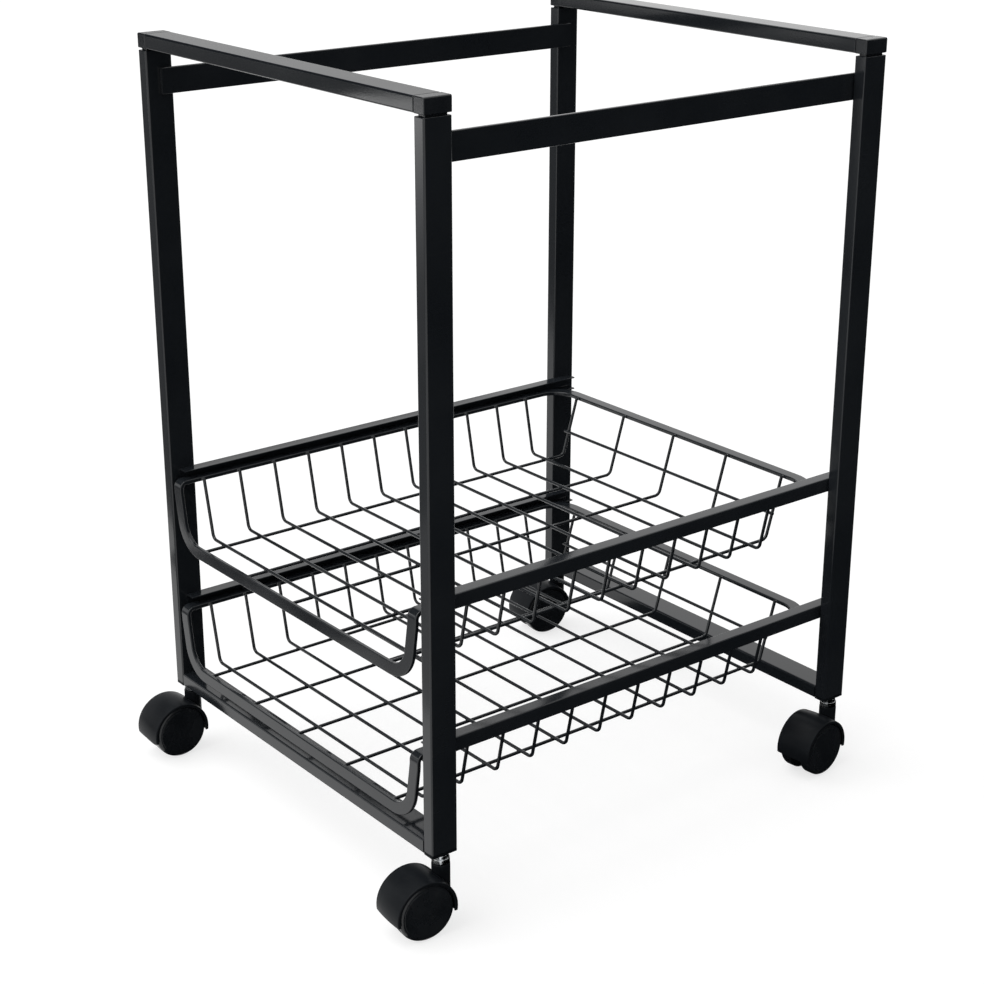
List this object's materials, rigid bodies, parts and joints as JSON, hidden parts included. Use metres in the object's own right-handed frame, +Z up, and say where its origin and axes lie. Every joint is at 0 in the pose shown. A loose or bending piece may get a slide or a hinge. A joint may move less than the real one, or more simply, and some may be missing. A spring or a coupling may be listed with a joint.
{
  "type": "mobile file cart",
  "caption": "Open rectangular-tube cart on swivel casters with side rails for hanging folders and wire baskets that slide out at the front.",
  "frame": {"origin": "on the floor, under the middle of the cart's whole outline as it stands with its casters trailing forward, which is 15.8 mm in front of the middle of the four posts", "axes": "+Z up; the front, where the baskets pull out, faces -Y; +X is to the right as seen from the front"},
  "size_m": [0.3542, 0.4126, 0.5381],
  "materials": {
    "frame_paint": "semi-gloss black powder coat",
    "basket_paint": "semi-gloss black powder coat",
    "corner_plastic": "fine-textured dark grey moulding",
    "caster_plastic": "satin black moulding",
    "wheel_plastic": "satin black moulding",
    "zinc": "bright zinc plate"
  },
  "bodies": {
    "frame": {"post_front_left": "frame_paint", "post_front_right": "frame_paint", "post_rear_left": "frame_paint", "post_rear_right": "frame_paint", "top_bar_front": "frame_paint", "bottom_bar_front": "frame_paint", "top_bar_rear": "frame_paint", "bottom_bar_rear": "frame_paint", "corner_front_left": "corner_plastic", "corner_front_right": "corner_plastic", "corner_rear_left": "corner_plastic", "corner_rear_right": "corner_plastic", "hanging_rail_left": "frame_paint", "lower_rail_left": "frame_paint", "upper_rail_left": "frame_paint", "hanging_rail_right": "frame_paint", "lower_rail_right": "frame_paint", "upper_rail_right": "frame_paint", "socket_front_left": "caster_plastic", "socket_front_right": "caster_plastic", "socket_rear_left": "caster_plastic", "socket_rear_right": "caster_plastic"},
    "upper_basket": {"upper_basket_rim": "basket_paint", "upper_basket_wires": "basket_paint"},
    "lower_basket": {"lower_basket_rim": "basket_paint", "lower_basket_wires": "basket_paint"},
    "caster_front_left": {"hood_front_left": "caster_plastic", "stem_front_left": "zinc", "axle_front_left": "zinc"},
    "wheel_left_front_left": {"wheel_left_front_left": "wheel_plastic"},
    "wheel_right_front_left": {"wheel_right_front_left": "wheel_plastic"},
    "caster_front_right": {"hood_front_right": "caster_plastic", "stem_front_right": "zinc", "axle_front_right": "zinc"},
    "wheel_left_front_right": {"wheel_left_front_right": "wheel_plastic"},
    "wheel_right_front_right": {"wheel_right_front_right": "wheel_plastic"},
    "caster_rear_left": {"hood_rear_left": "caster_plastic", "stem_rear_left": "zinc", "axle_rear_left": "zinc"},
    "wheel_left_rear_left": {"wheel_left_rear_left": "wheel_plastic"},
    "wheel_right_rear_left": {"wheel_right_rear_left": "wheel_plastic"},
    "caster_rear_right": {"hood_rear_right": "caster_plastic", "stem_rear_right": "zinc", "axle_rear_right": "zinc"},
    "wheel_left_rear_right": {"wheel_left_rear_right": "wheel_plastic"},
    "wheel_right_rear_right": {"wheel_right_rear_right": "wheel_plastic"}
  },
  "joints": [
    {"name": "upper_basket_slide", "type": "slide", "parent": "frame", "child": "upper_basket", "axis": [0, -1, 0], "range_m": [0, 0.28]},
    {"name": "lower_basket_slide", "type": "slide", "parent": "frame", "child": "lower_basket", "axis": [0, -1, 0], "range_m": [0, 0.28]},
    {"name": "swivel_front_left", "type": "hinge", "parent": "frame", "child": "caster_front_left", "pos_m": [-0.1585, -0.16475, 0.05315], "axis": [0, 0, 1], "continuous": true},
    {"name": "roll_left_front_left", "type": "hinge", "parent": "caster_front_left", "child": "wheel_left_front_left", "pos_m": [-0.16801, -0.18249, 0.02025], "axis": [0.9998, -0.0175, 0], "continuous": true},
    {"name": "roll_right_front_left", "type": "hinge", "parent": "caster_front_left", "child": "wheel_right_front_left", "pos_m": [-0.14961, -0.18281, 0.02025], "axis": [0.9998, -0.0175, 0], "continuous": true},
    {"name": "swivel_front_right", "type": "hinge", "parent": "frame", "child": "caster_front_right", "pos_m": [0.1585, -0.16475, 0.05315], "axis": [0, 0, 1], "continuous": true},
    {"name": "roll_left_front_right", "type": "hinge", "parent": "caster_front_right", "child": "wheel_left_front_right", "pos_m": [0.14748, -0.18159, 0.02025], "axis": [0.9945, -0.1045, 0], "continuous": true},
    {"name": "roll_right_front_right", "type": "hinge", "parent": "caster_front_right", "child": "wheel_right_front_right", "pos_m": [0.16578, -0.18351, 0.02025], "axis": [0.9945, -0.1045, 0], "continuous": true},
    {"name": "swivel_rear_left", "type": "hinge", "parent": "frame", "child": "caster_rear_left", "pos_m": [-0.1585, 0.19625, 0.05315], "axis": [0, 0, 1], "continuous": true},
    {"name": "roll_left_rear_left", "type": "hinge", "parent": "caster_rear_left", "child": "wheel_left_rear_left", "pos_m": [-0.16952, 0.17941, 0.02025], "axis": [0.9945, -0.1045, 0], "continuous": true},
    {"name": "roll_right_rear_left", "type": "hinge", "parent": "caster_rear_left", "child": "wheel_right_rear_left", "pos_m": [-0.15122, 0.17749, 0.02025], "axis": [0.9945, -0.1045, 0], "continuous": true},
    {"name": "swivel_rear_right", "type": "hinge", "parent": "frame", "child": "caster_rear_right", "pos_m": [0.1585, 0.19625, 0.05315], "axis": [0, 0, 1], "continuous": true},
    {"name": "roll_left_rear_right", "type": "hinge", "parent": "caster_rear_right", "child": "wheel_left_rear_right", "pos_m": [0.15122, 0.17749, 0.02025], "axis": [0.9945, 0.1045, 0], "continuous": true},
    {"name": "roll_right_rear_right", "type": "hinge", "parent": "caster_rear_right", "child": "wheel_right_rear_right", "pos_m": [0.16952, 0.17941, 0.02025], "axis": [0.9945, 0.1045, 0], "continuous": true}
  ]
}
